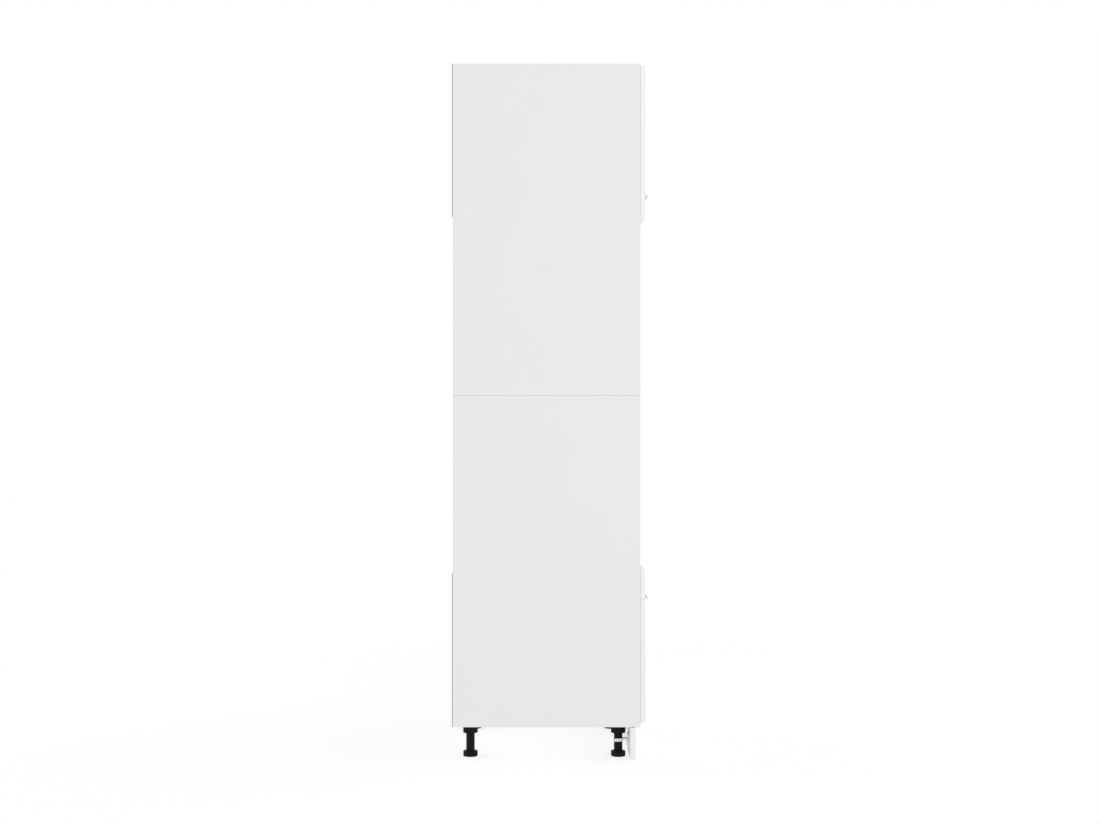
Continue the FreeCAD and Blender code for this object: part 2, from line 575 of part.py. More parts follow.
def front(label, low, rail_inset, rail_up, hinge_holes):
    # A slab front with a rounded outer edge, grip-rail groove, finger strip and its hinges' holes.
    # rail_up is 1 where the hand reaches up behind the rail, -1 where it reaches down.
    body = padded(label + "_slab", "XZ_Plane", [
        ("0", "0"), (DOOR_WIDTH, "0"), (DOOR_WIDTH, "door_height"), ("0", "door_height")], "door_thick")
    doc.recompute()
    pad = body.Tip
    outer = min(v.Y for v in pad.Shape.Vertexes)
    edges = ["Edge%d" % (i + 1) for i, e in enumerate(pad.Shape.Edges)
             if all(abs(v.Y - outer) < 1e-6 for v in e.Vertexes)]
    rounding = body.newObject("PartDesign::Fillet", label + "_rounding")
    rounding.Base = (pad, edges)
    bind(rounding, "Radius", "door_round")
    place(body, DOOR_LEFT, DOOR_BACK, low)

    rail_z = "(%s + %s)" % (low, rail_inset) if rail_up > 0 else "(%s + door_height - %s)" % (low, rail_inset)
    face = "(%s - door_thick)" % DOOR_BACK
    groove_low = "%s - rail_wall - rail_fit" % rail_z if rail_up > 0 else "%s - rail_fit" % rail_z
    groove = box(label + "_groove", DOOR_WIDTH, "rail_tongue + rail_fit", "rail_wall + 2 * rail_fit", DOOR_LEFT,
                 face, groove_low)
    strip_low, strip_high = (low, "%s - rail_wall" % rail_z) if rail_up > 0 else (
        "(%s + rail_wall)" % rail_z, "%s + door_height" % low)
    strip = box(label + "_strip", DOOR_WIDTH, "strip_depth", "%s - %s" % (strip_high, strip_low), DOOR_LEFT,
                face, strip_low)
    finish(cut(label, body, [fuse(label + "_step", [groove, strip])] + hinge_holes), label)

    # The rail: a tongue in the groove, a flange out through the face and a hooked lip.
    tip = "-(door_thick + rail_lip)"
    inner = "rail_tongue - door_thick"
    sign = "-1 * " if rail_up > 0 else "1 * "
    rail = padded(label.replace("door", "grip_rail") + "_bar", "YZ_Plane", [
        (inner, "0"), (tip, "0"), (tip, sign + "rail_nib"), (tip + " + rail_wall", sign + "rail_nib"),
        (tip + " + rail_wall", sign + "rail_wall"), (inner, sign + "rail_wall")], DOOR_WIDTH)
    finish(place(rail, DOOR_LEFT, DOOR_BACK, rail_z), label.replace("door", "grip_rail"))

    bumpers = []
    for end, z in (("low", low + " + bumper_inset"), ("high", low + " + door_height - bumper_inset")):
        bumpers.append(prism("%s_bumper_%s" % (label, end), RIVET_SIDES, "bumper_radius", "bumper_thick",
                             "-%s - bumper_inset" % DOOR_LEFT, DOOR_BACK, z, ALONG_Y))
    finish(group(label + "_bumpers", bumpers), label + "_bumpers")


for level, low, inset, up, front_holes in fronts:
    front(level + "_door", low, inset, up, front_holes)
doc.recompute()

# Every feature has to be sound before anything is written.
for obj in doc.Objects:
    if "Invalid" in obj.State or "Error" in obj.State:
        raise RuntimeError("%s failed: %s" % (obj.Label, obj.State))
os.makedirs("parts", exist_ok=True)
for obj in nodes:
    if obj.Shape.isNull() or not obj.Shape.isValid():
        raise RuntimeError(obj.Label + " has no sound shape")
for obj in nodes:
    obj.Shape.exportStep("parts/%s.step" % obj.Label)
print("%d nodes" % len(nodes))
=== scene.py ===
import json
from math import atan2, hypot, pi, radians

import bmesh
import bpy
from mathutils import Matrix, Vector


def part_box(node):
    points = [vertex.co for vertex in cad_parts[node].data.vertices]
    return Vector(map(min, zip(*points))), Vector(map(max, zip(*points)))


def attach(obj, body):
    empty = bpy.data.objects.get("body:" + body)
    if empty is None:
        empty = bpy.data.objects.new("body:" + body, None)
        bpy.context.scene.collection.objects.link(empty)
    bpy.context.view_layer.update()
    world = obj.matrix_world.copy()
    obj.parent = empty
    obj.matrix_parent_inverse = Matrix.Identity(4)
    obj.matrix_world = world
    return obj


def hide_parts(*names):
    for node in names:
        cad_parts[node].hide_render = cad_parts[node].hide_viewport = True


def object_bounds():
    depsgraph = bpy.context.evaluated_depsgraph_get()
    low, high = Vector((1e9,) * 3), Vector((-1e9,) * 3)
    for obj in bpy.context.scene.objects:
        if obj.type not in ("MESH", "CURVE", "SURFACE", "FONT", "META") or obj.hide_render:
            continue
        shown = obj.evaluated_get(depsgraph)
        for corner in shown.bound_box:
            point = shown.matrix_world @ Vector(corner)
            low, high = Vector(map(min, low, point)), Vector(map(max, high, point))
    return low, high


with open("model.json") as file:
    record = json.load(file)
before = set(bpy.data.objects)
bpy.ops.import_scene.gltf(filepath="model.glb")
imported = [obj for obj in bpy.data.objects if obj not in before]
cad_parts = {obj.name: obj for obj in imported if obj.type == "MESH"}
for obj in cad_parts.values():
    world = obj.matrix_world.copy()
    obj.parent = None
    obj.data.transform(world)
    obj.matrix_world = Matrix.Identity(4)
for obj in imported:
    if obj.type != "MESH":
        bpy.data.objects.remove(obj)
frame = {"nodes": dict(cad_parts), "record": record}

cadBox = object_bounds()
nodes = frame["nodes"]
bodies = frame["record"]["behaviour"]["bodies"]
nodeBody = {node: body for body, members in bodies.items() for node in members}
levels = ("upper", "lower")  # the two cupboards
bpy.ops.object.select_all(action="DESELECT")
print("frame loaded:", len(nodes), "nodes")

# How near a place or a direction has to be when faces and edges are chosen by it
snap = {"touch": 1e-6, "ring": 1e-5, "facing": 0.9, "upright": 0.1}


# Small helpers for working in object and edit mode

def pickOnly(*pieces):
    bpy.ops.object.select_all(action="DESELECT")
    for piece in pieces:
        piece.select_set(True)
    bpy.context.view_layer.objects.active = pieces[0]


def intoEdit():
    bpy.ops.object.mode_set(mode="EDIT")


def outOfEdit():
    bpy.ops.object.mode_set(mode="OBJECT")
    return bpy.context.object


def chooseFaces(test):
    bpy.context.tool_settings.mesh_select_mode = (False, False, True)
    bpy.ops.mesh.select_all(action="DESELECT")
    mesh = bmesh.from_edit_mesh(bpy.context.object.data)
    mesh.normal_update()
    for face in mesh.faces:
        face.select_set(bool(test(face.calc_center_median(), face.normal)))
    bmesh.update_edit_mesh(bpy.context.object.data)


def chooseEdges(test):
    bpy.context.tool_settings.mesh_select_mode = (False, True, False)
    bpy.ops.mesh.select_all(action="DESELECT")
    mesh = bmesh.from_edit_mesh(bpy.context.object.data)
    for edge in mesh.edges:
        a, b = edge.verts
        edge.select_set(bool(test(a.co, b.co)))
    bmesh.update_edit_mesh(bpy.context.object.data)


def chooseTopEdges(height):
    chooseEdges(lambda a, b: min(a.z, b.z) > height - snap["touch"])


def looksUp(normal):
    return normal.z > snap["facing"]


def looksDown(normal):
    return normal.z < -snap["facing"]


def standsUpright(normal):
    return abs(normal.z) < snap["upright"]


def fromAxis(point):
    return hypot(point.x, point.y)


def applyPlace(piece):
    pickOnly(piece)
    bpy.ops.object.transform_apply(location=True, rotation=True, scale=True)
    return piece


def smoothen(piece, angle=35):
    pickOnly(piece)
    bpy.ops.object.shade_smooth_by_angle(angle=radians(angle))
    modifier = piece.modifiers.new("even", "WEIGHTED_NORMAL")  # large flat faces stay flat
    modifier.keep_sharp = True
    bpy.ops.object.modifier_apply(modifier=modifier.name)
    return piece


def carve(piece, cutter):
    # cuts one piece out of another and throws the cutter away
    pickOnly(piece)
    modifier = piece.modifiers.new("carve", "BOOLEAN")
    modifier.operation = "DIFFERENCE"
    modifier.solver = "EXACT"
    modifier.object = cutter
    bpy.ops.object.modifier_apply(modifier=modifier.name)
    discard(cutter)


def soften(piece, width, segments=2, angle=35):
    # eases every edge that is sharper than the angle
    pickOnly(piece)
    modifier = piece.modifiers.new("soften", "BEVEL")
    modifier.width = width
    modifier.segments = segments
    modifier.limit_method = "ANGLE"
    modifier.angle_limit = radians(angle)
    bpy.ops.object.modifier_apply(modifier=modifier.name)
    return piece


def copyTo(pattern, matrix):
    piece = pattern.copy()
    piece.data = pattern.data.copy()
    bpy.context.scene.collection.objects.link(piece)
    piece.matrix_world = matrix
    return applyPlace(piece)


def gather(pieces, name):
    # joins copies into one piece
    pickOnly(*pieces)
    if len(pieces) > 1:
        bpy.ops.object.join()
    piece = bpy.context.view_layer.objects.active
    piece.name = name
    piece.data.name = name
    return piece


def discard(piece):
    bpy.data.objects.remove(piece)


def addCylinder(sides, radius, low, high):
    # an upright cylinder between two heights on the origin
    bpy.ops.object.select_all(action="DESELECT")
    bpy.ops.mesh.primitive_cylinder_add(vertices=sides, radius=radius, depth=high - low,
                                        location=(0, 0, (low + high) / 2))
    return applyPlace(bpy.context.object)


def addBlock(low, high):
    bpy.ops.object.select_all(action="DESELECT")
    middle = [(a + b) / 2 for a, b in zip(low, high)]
    bpy.ops.mesh.primitive_cube_add(size=1, location=middle)
    bpy.context.object.scale = [b - a for a, b in zip(low, high)]
    return applyPlace(bpy.context.object)


solidMend = {"merge": 0.000002, "flatAngle": 0.5}


def solidCopy(node, name):
    # a merged copy of a CAD solid, flat faces whole again
    piece = bpy.data.objects.new(name, nodes[node].data.copy())
    piece.data.name = name
    bpy.context.scene.collection.objects.link(piece)
    pickOnly(piece)
    bpy.ops.mesh.customdata_custom_splitnormals_clear()
    intoEdit()
    bpy.ops.mesh.select_all(action="SELECT")
    bpy.ops.mesh.remove_doubles(threshold=solidMend["merge"])
    bpy.ops.mesh.dissolve_limited(angle_limit=radians(solidMend["flatAngle"]))
    return outOfEdit()


def ease(width, segments=2):
    # rounds the chosen edges
    bpy.ops.mesh.bevel(offset=width, segments=segments)


def roundEdges(piece, width, test, segments=2):
    pickOnly(piece)
    intoEdit()
    chooseEdges(test)
    ease(width, segments)
    return smoothen(outOfEdit())


def pull(step):
    bpy.ops.mesh.extrude_region_move(TRANSFORM_OT_translate={"value": step})


def crossCut(piece, long, wide, low, high):
    # the driver's cross recess in a screw or cam
    for arm in ((long, wide), (wide, long)):
        carve(piece, addBlock((-arm[0] / 2, -arm[1] / 2, low), (arm[0] / 2, arm[1] / 2, high)))


def coat(thing, material):
    thing.data.materials.clear()
    thing.data.materials.append(material)


def standFor(piece, material, slotName, body, *replaced):
    coat(piece, material)
    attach(piece, body)
    if replaced:
        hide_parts(*replaced)


# Node helpers for the materials

def newFinish(name):
    material = bpy.data.materials.new(name)
    material.use_nodes = True
    tree = material.node_tree
    shader = tree.nodes["Principled BSDF"]
    coords = tree.nodes.new("ShaderNodeTexCoord").outputs["Object"]
    return material, tree, shader, coords


def cloud(tree, coords, scale, detail, rough=0.55):
    noise = tree.nodes.new("ShaderNodeTexNoise")
    noise.inputs["Scale"].default_value = scale
    noise.inputs["Detail"].default_value = detail
    noise.inputs["Roughness"].default_value = rough
    tree.links.new(coords, noise.inputs["Vector"])
    return noise.outputs["Fac"]


def streaks(tree, coords, scale, detail, rough):
    # noise with a scale of its own along each axis
    mapping = tree.nodes.new("ShaderNodeMapping")
    mapping.inputs["Scale"].default_value = scale
    tree.links.new(coords, mapping.inputs["Vector"])
    return cloud(tree, mapping.outputs["Vector"], 1.0, detail, rough)


def sums(tree, kind, first, second=None):
    node = tree.nodes.new("ShaderNodeMath")
    node.operation = kind
    for socket, value in zip(node.inputs, (first, second)):
        if value is None:
            continue
        if isinstance(value, (int, float)):
            socket.default_value = value
        else:
            tree.links.new(value, socket)
    return node.outputs[0]


def spread(tree, value, low, high, fromLow=0.0, fromHigh=1.0):
    node = tree.nodes.new("ShaderNodeMapRange")
    node.inputs["From Min"].default_value = fromLow
    node.inputs["From Max"].default_value = fromHigh
    node.inputs["To Min"].default_value = low
    node.inputs["To Max"].default_value = high
    tree.links.new(value, node.inputs["Value"])
    return node.outputs["Result"]


def tones(tree, share, first, second):
    node = tree.nodes.new("ShaderNodeMix")
    node.data_type = "RGBA"
    colourA = [s for s in node.inputs if s.name == "A" and s.type == "RGBA"][0]
    colourB = [s for s in node.inputs if s.name == "B" and s.type == "RGBA"][0]
    for socket, value in ((colourA, first), (colourB, second)):
        if isinstance(value, tuple):
            socket.default_value = value + (1.0,)
        else:
            tree.links.new(value, socket)
    tree.links.new(share, node.inputs["Factor"])
    return [s for s in node.outputs if s.type == "RGBA"][0]


def relief(tree, shader, height, strength, distance):
    bump = tree.nodes.new("ShaderNodeBump")
    bump.inputs["Strength"].default_value = strength
    bump.inputs["Distance"].default_value = distance
    tree.links.new(height, bump.inputs["Height"])
    tree.links.new(bump.outputs["Normal"], shader.inputs["Normal"])


def placeOn(tree, coords):
    node = tree.nodes.new("ShaderNodeSeparateXYZ")
    tree.links.new(coords, node.inputs[0])
    return node.outputs


print("helpers ready")

# Melamine-faced chipboard: faint pearl structure, a band on the front edge, bare chips on the rear edge
boardLook = {
    "face": (0.80, 0.80, 0.798), "faceDeep": (0.785, 0.785, 0.782),
    "mottle": (9.0, 4.0), "rough": (0.42, 0.52),
    "band": (0.83, 0.83, 0.828), "bandDepth": 0.0006, "glueLine": 0.0001,
    "chip": (0.52, 0.41, 0.29), "chipDeep": (0.30, 0.22, 0.14), "chipScale": 420.0, "bareDepth": 0.00005,
    "pearl": (1400.0, 2.0), "relief": (0.12, 0.00006),
}
plinthLook = dict(boardLook, face=(0.836, 0.828, 0.803), faceDeep=(0.821, 0.813, 0.788))
foilWrap = 1.0  # puts the bare rear edge out of reach, foil covers the plinth all round


def melamine(name, look, frontEdge, rearEdge):
    material, tree, shader, coords = newFinish(name)
    depth = placeOn(tree, coords)["Y"]
    mottle = cloud(tree, coords, *look["mottle"])
    face = tones(tree, mottle, look["face"], look["faceDeep"])
    bandEnd = frontEdge + look["bandDepth"]
    banded = tones(tree, sums(tree, "LESS_THAN", depth, bandEnd), face, look["band"])
    chips = tree.nodes.new("ShaderNodeTexVoronoi")
    chips.inputs["Scale"].default_value = look["chipScale"]
    tree.links.new(coords, chips.inputs["Vector"])
    bareChip = tones(tree, chips.outputs["Distance"], look["chip"], look["chipDeep"])
    atRear = sums(tree, "GREATER_THAN", depth, rearEdge - look["bareDepth"])
    tree.links.new(tones(tree, atRear, banded, bareChip), shader.inputs["Base Color"])
    tree.links.new(spread(tree, mottle, *look["rough"]), shader.inputs["Roughness"])
    glueLine = sums(tree, "COMPARE", depth, bandEnd)
    glueLine.node.inputs[2].default_value = look["glueLine"]
    height = sums(tree, "SUBTRACT", cloud(tree, coords, *look["pearl"]), glueLine)
    relief(tree, shader, height, *look["relief"])
    return material


def bandedBoard(name, look, node, wrap=0.0):
    low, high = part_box(node)
    return melamine(name, look, low.y, high.y + wrap)


boardFinish = bandedBoard("melamineBoard", boardLook, "lower_left_side")
plinthFinish = bandedBoard("plinthFoil", plinthLook, "plinth", foilWrap)
shelfFinish = bandedBoard("shelfMelamine", boardLook, "lower_loose_shelf")
print("boards finished")

# Satin lacquer of the fronts
lacquerLook = {
    "white": (0.85, 0.85, 0.847), "shade": (0.838, 0.838, 0.834), "drift": (6.0, 3.0), "rough": (0.26, 0.34),
    "peel": (520.0, 1.5), "relief": (0.08, 0.00005), "coat": 0.15, "coatRough": 0.2,
}


def satinLacquer(look):
    material, tree, shader, coords = newFinish("satinLacquer")
    drift = cloud(tree, coords, *look["drift"])
    tree.links.new(tones(tree, drift, look["white"], look["shade"]), shader.inputs["Base Color"])
    tree.links.new(spread(tree, drift, *look["rough"]), shader.inputs["Roughness"])
    relief(tree, shader, cloud(tree, coords, *look["peel"]), *look["relief"])
    shader.inputs["Coat Weight"].default_value = look["coat"]
    shader.inputs["Coat Roughness"].default_value = look["coatRough"]
    return material


lacquer = satinLacquer(lacquerLook)

# Satin anodised rail with brush lines along it, plated steel and cast zinc
brushing = {"detail": 4.0, "crisp": 0.7, "relief": (0.1, 0.00004)}
railLook = {
    "bright": (0.79, 0.79, 0.795), "dull": (0.68, 0.68, 0.685),
    "lines": (4.0, 900.0, 900.0), "rough": (0.28, 0.42),
}
steelLook = {
    "bright": (0.70, 0.69, 0.67), "dull": (0.58, 0.575, 0.56),
    "lines": (260.0, 260.0, 120.0), "rough": (0.22, 0.36),
}
zincLook = {
    "bright": (0.55, 0.56, 0.57), "dull": (0.42, 0.43, 0.44),
    "lines": (900.0, 900.0, 900.0), "rough": (0.4, 0.6),
}


def brushedMetal(name, look):
    material, tree, shader, coords = newFinish(name)
    lines = streaks(tree, coords, look["lines"], brushing["detail"], brushing["crisp"])
    tree.links.new(tones(tree, lines, look["bright"], look["dull"]), shader.inputs["Base Color"])
    tree.links.new(spread(tree, lines, *look["rough"]), shader.inputs["Roughness"])
    shader.inputs["Metallic"].default_value = 1.0
    relief(tree, shader, lines, *brushing["relief"])
    return material


railFinish = brushedMetal("anodisedRail", railLook)
steelFinish = brushedMetal("nickelSteel", steelLook)
zincFinish = brushedMetal("dieCastZinc", zincLook)

# Moulded plastics: black legs, pale clips and half-clear soft pads
moulding = {
    "patches": (60.0, 5.0, 0.6), "wornEnds": (0.45, 0.75), "grainDetail": 2.0, "relief": (0.18, 0.00008),
}
legLook = {
    "face": (0.0042, 0.0042, 0.0043), "worn": (0.007, 0.007, 0.007),
    "grain": 2200.0, "rough": (0.5, 0.62), "gloss": 0.13, "clear": 0.0,
}
clipLook = {
    "face": (0.80, 0.78, 0.74), "worn": (0.74, 0.72, 0.68),
    "grain": 1500.0, "rough": (0.34, 0.46), "gloss": 0.45, "clear": 0.0,
}
padLook = {
    "face": (0.78, 0.78, 0.77), "worn": (0.72, 0.72, 0.71),
    "grain": 900.0, "rough": (0.3, 0.4), "gloss": 0.5, "clear": 0.5,
}


def mouldedPlastic(name, look):
    material, tree, shader, coords = newFinish(name)
    patches = cloud(tree, coords, *moulding["patches"])
    worn = spread(tree, patches, 0.0, 1.0, *moulding["wornEnds"])
    tree.links.new(tones(tree, worn, look["face"], look["worn"]), shader.inputs["Base Color"])
    tree.links.new(spread(tree, patches, *look["rough"]), shader.inputs["Roughness"])
    relief(tree, shader, cloud(tree, coords, look["grain"], moulding["grainDetail"]), *moulding["relief"])
    shader.inputs["Specular IOR Level"].default_value = look["gloss"]
    shader.inputs["Transmission Weight"].default_value = look["clear"]
    return material


legFinish = mouldedPlastic("blackLegPlastic", legLook)
clipFinish = mouldedPlastic("paleClipPlastic", clipLook)
padFinish = mouldedPlastic("softPad", padLook)

# Thin hardboard: faced inside, bare fibre on the outside, its side edges painted a flat grey that stands in
# for shade
hardboardLook = {
    "faced": (0.74, 0.74, 0.735), "fibre": (0.52, 0.50, 0.475), "fibreDeep": (0.44, 0.42, 0.395),
    "edge": (0.405, 0.405, 0.397), "fibres": ((260.0, 260.0, 420.0), 6.0, 0.7), "bareDepth": 0.0009,
    "shadedEdgeDepth": 0.0004, "rough": (0.55, 0.75), "relief": (0.15, 0.0001),
}


def hardboard(look, corner):
    material, tree, shader, coords = newFinish("thinHardboard")
    place = placeOn(tree, coords)
    fibres = streaks(tree, coords, *look["fibres"])
    bare = tones(tree, fibres, look["fibre"], look["fibreDeep"])
    atBack = sums(tree, "GREATER_THAN", place["Y"], corner.y - look["bareDepth"])
    sheet = tones(tree, atBack, look["faced"], bare)
    # painted shade: the side edges of the sheet get a flat dark grey, as if less light fell on them
    paintedShadeSide = sums(tree, "GREATER_THAN", sums(tree, "ABSOLUTE", place["X"]), corner.x - look["shadedEdgeDepth"])
    tree.links.new(tones(tree, paintedShadeSide, sheet, look["edge"]), shader.inputs["Base Color"])
    tree.links.new(spread(tree, fibres, *look["rough"]), shader.inputs["Roughness"])
    relief(tree, shader, fibres, *look["relief"])
    return material


hardboardFinish = hardboard(hardboardLook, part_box("lower_back_panel")[1])

# Bolts and rivet pins show as they are in the CAD model
hingePins = [level + "_hinge_" + kind + "_pins" for level in levels for kind in ("arm", "cup")]
for node in ["cam_bolts"] + hingePins:
    coat(nodes[node], steelFinish)
print("materials ready")

# Boards with softened front edges, as an edge band leaves them
boardEdges = {"round": 0.0004, "reach": 0.00002, "buttIn": 0.002, "buttSpare": 0.00003}
boardNames = {
    "lower_left_side": "lowerLeftSide", "lower_right_side": "lowerRightSide",
    "upper_left_side": "upperLeftSide", "upper_right_side": "upperRightSide",
    "bottom_panel": "bottomBoard", "oven_base_panel": "ovenBaseBoard", "appliance_shelf": "applianceBoard",
    "upper_cupboard_base": "upperBaseBoard", "top_panel": "topBoard",
    "lower_loose_shelf": "lowerLooseShelf", "upper_loose_shelf": "upperLooseShelf", "plinth": "plinthBoard",
}
otherFinishes = {"lower_loose_shelf": shelfFinish, "upper_loose_shelf": shelfFinish, "plinth": plinthFinish}


def onOutline(a, b, low, high, face):
    # an edge of the box that lies on its given Y face
    def at(point, axis, place):
        return abs(point[axis] - place) < boardEdges["reach"]
    onFace = at(a, 1, face) and at(b, 1, face)
    return onFace and any(at(a, axis, place) and at(b, axis, place)
                          for axis in (0, 2) for place in (low[axis], high[axis]))


def buttJoint(board, top, rise):
    # the core of a split side meets the board above, the faces keep a hairline
    pickOnly(board)
    intoEdit()
    chooseFaces(lambda middle, normal: looksUp(normal) and middle.z > top - boardEdges["reach"])
    bpy.ops.mesh.inset(thickness=boardEdges["buttIn"])
    pull((0, 0, rise))
    outOfEdit()


for node, name in boardNames.items():
    low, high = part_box(node)
    board = solidCopy(node, name)
    if node in ("lower_left_side", "lower_right_side"):
        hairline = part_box(node.replace("lower", "upper"))[0].z - high.z
        buttJoint(board, high.z, hairline - boardEdges["buttSpare"])
    roundEdges(board, boardEdges["round"], lambda a, b: onOutline(a, b, low, high, low.y))
    slotName = "plinth_board" if node == "plinth" else "melamine_board"
    standFor(board, otherFinishes.get(node, boardFinish), slotName, nodeBody[node], node)
print("boards softened:", len(boardNames))

# Fronts: the rounded face is the solid's own, the back edges are eased
frontEdges = {"back": 0.0003, "rail": 0.0005, "railSteps": 3}
for level in levels:
    low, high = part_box(level + "_door")
    front = roundEdges(solidCopy(level + "_door", level + "Front"), frontEdges["back"],
                       lambda a, b: onOutline(a, b, low, high, high.y))
    standFor(front, lacquer, "front_board", level + "_front", level + "_door")
    rail = solidCopy(level + "_grip_rail", level + "GripRail")
    soften(rail, frontEdges["rail"], frontEdges["railSteps"])
    standFor(smoothen(rail), railFinish, "rail_aluminium", level + "_front", level + "_grip_rail")
print("fronts softened")

# Which way a part that is modelled upright faces once it is in place
facingUp = Matrix.Identity(4)
facingDown = Matrix.Rotation(pi, 4, "X")
facingRight = Matrix.Rotation(pi / 2, 4, "Y")
facingLeft = Matrix.Rotation(-pi / 2, 4, "Y")
facingBack = Matrix.Rotation(-pi / 2, 4, "X")


def turned(degrees):
    return Matrix.Rotation(radians(degrees), 4, "Z")


# Locking cams: a dished zinc dial with a cross slot, flush in its hole
camLook = {
    "sides": 40, "radius": 0.0072, "depth": 0.0122, "rim": 0.0009, "rimStep": 0.0004, "dish": 0.0007,
    "edge": 0.0003, "slotLong": 0.0094, "slotWide": 0.0014, "slotDeep": 0.0026, "slotTop": 0.001,
    "across": 0.25, "front": -0.2185, "back": 0.2385, "turns": (28, 41, 35, 47),
}


def lockingCam(look):
    cam = addCylinder(look["sides"], look["radius"], -look["depth"], 0.0)
    intoEdit()
    chooseFaces(lambda middle, normal: looksUp(normal))
    bpy.ops.mesh.inset(thickness=look["rim"])
    bpy.ops.mesh.inset(thickness=look["rimStep"])
    bpy.ops.transform.translate(value=(0, 0, -look["dish"]))
    chooseEdges(lambda a, b: min(a.z, b.z) > -snap["touch"]
                and min(fromAxis(a), fromAxis(b)) > look["radius"] - snap["ring"])
    ease(look["edge"])
    outOfEdit()
    crossCut(cam, look["slotLong"], look["slotWide"], -look["slotDeep"], look["slotTop"])
    return smoothen(cam)


camPattern = lockingCam(camLook)
camCopies = []
camFaces = (
    (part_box("bottom_panel")[1].z, facingUp), (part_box("oven_base_panel")[0].z, facingDown),
    (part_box("appliance_shelf")[0].z, facingDown), (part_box("upper_cupboard_base")[1].z, facingUp),
    (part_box("top_panel")[0].z, facingDown),
)
camSpots = [(side * camLook["across"], camLook[line]) for side in (-1, 1) for line in ("front", "back")]
for height, facing in camFaces:
    for (x, y), turn in zip(camSpots, camLook["turns"]):
        camCopies.append(copyTo(camPattern, Matrix.Translation((x, y, height)) @ facing @ turned(turn)))
discard(camPattern)
standFor(gather(camCopies, "lockingCams"), zincFinish, "cam_zinc", "carcass", "cam_locks")
print("cams modelled:", len(camFaces) * len(camSpots))

# Pan-head screws with a cross recess, for the hinges, the splice plates and the plinth clips
screwLook = {
    "sides": 32, "shank": 0.0017, "head": 0.0034, "headHeight": 0.0016, "dome": 0.62, "domeSteps": 4,
    "long": 0.0108, "tipShare": 0.25, "tip": 0.2, "crossLong": 0.0036, "crossWide": 0.0008,
    "crossDeep": 0.001, "crossTop": 0.003, "firstTurn": 17, "turnStep": 37,
}


def panScrew(look):
    screw = addCylinder(look["sides"], look["head"], 0.0, look["headHeight"])
    intoEdit()
    chooseTopEdges(look["headHeight"])
    ease(look["headHeight"] * look["dome"], look["domeSteps"])
    chooseFaces(lambda middle, normal: looksDown(normal))
    bpy.ops.mesh.inset(thickness=look["head"] - look["shank"])
    pull((0, 0, -look["long"] * (1 - look["tipShare"])))
    pull((0, 0, -look["long"] * look["tipShare"]))
    bpy.ops.transform.resize(value=(look["tip"], look["tip"], 1))
    outOfEdit()
    crossCut(screw, look["crossLong"], look["crossWide"], look["headHeight"] - look["crossDeep"],
             look["crossTop"])
    return smoothen(screw)


screwPattern = panScrew(screwLook)


def screwSet(name, spots, facing, body, *replaced):
    # each spot is the underside of a head, with its own turn of the cross
    copies = []
    for number, spot in enumerate(spots):
        spin = turned(screwLook["firstTurn"] + screwLook["turnStep"] * number)
        copies.append(copyTo(screwPattern, Matrix.Translation(spot) @ facing @ spin))
    standFor(gather(copies, name), steelFinish, "plated_steel", body, *replaced)


def middleHeight(node):
    low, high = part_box(node)
    return (low.z + high.z) / 2


def pairsAt(x, y, heights, half):
    # a screw below and one above each height
    return [(x, y, z + end * half) for z in heights for end in (-1, 1)]


hingeHeights = {level: [middleHeight("%s_hinge_%s_cup" % (level, spot)) for spot in ("low", "high")]
                for level in levels}
hingeScrews = {
    "cupX": -0.2695, "cupY": -0.268, "cupHalf": 0.024,
    "plateX": -0.2815, "plateY": -0.2315, "plateHalf": 0.016,
}
plateSpots = []
for level, heights in hingeHeights.items():
    cupSpots = pairsAt(hingeScrews["cupX"], hingeScrews["cupY"], heights, hingeScrews["cupHalf"])
    plateSpots += pairsAt(hingeScrews["plateX"], hingeScrews["plateY"], heights, hingeScrews["plateHalf"])
    screwSet(level + "CupScrews", cupSpots, facingBack, level + "_front", level + "_hinge_cup_screws")
screwSet("plateScrews", plateSpots, facingRight, "carcass", "hinge_plate_screws")

spliceLow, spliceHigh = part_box("splice_plates")
spliceLook = {
    "lines": (-0.1785, 0.1985), "half": 0.02, "thick": 0.002, "corner": 0.005, "cornerSteps": 5,
    "edge": 0.0004, "screws": (-0.042, -0.018, 0.018, 0.042),
}
spliceSpots = [(y, middleHeight("splice_plates") + step)
               for y in spliceLook["lines"] for step in spliceLook["screws"]]
for side, x, facing in (("left", spliceLow.x + spliceLook["thick"], facingRight),
                        ("right", spliceHigh.x - spliceLook["thick"], facingLeft)):
    screwSet(side + "SpliceScrews", [(x, y, z) for y, z in spliceSpots], facing, "carcass")

clipScrews = {"leg": 0.225, "beside": 0.0124, "face": -0.2355, "heights": (0.0475, 0.0655)}
clipSpots = [(side * clipScrews["leg"] + end * clipScrews["beside"], clipScrews["face"], z)
             for side in (-1, 1) for end in (-1, 1) for z in clipScrews["heights"]]
screwSet("clipScrews", clipSpots, facingBack, "plinth")
print("screws modelled")

# Splice plates with rounded corners
splices = []
for x in (spliceLow.x, spliceHigh.x - spliceLook["thick"]):
    for y in spliceLook["lines"]:
        plate = addBlock((x, y - spliceLook["half"], spliceLow.z),
                         (x + spliceLook["thick"], y + spliceLook["half"], spliceHigh.z))
        roundEdges(plate, spliceLook["corner"], lambda a, b: abs(a.x - b.x) > spliceLook["thick"] / 2,
                   spliceLook["cornerSteps"])
        splices.append(soften(plate, spliceLook["edge"]))
standFor(smoothen(gather(splices, "splicePlates")), steelFinish, "plated_steel", "carcass", "splice_plates")

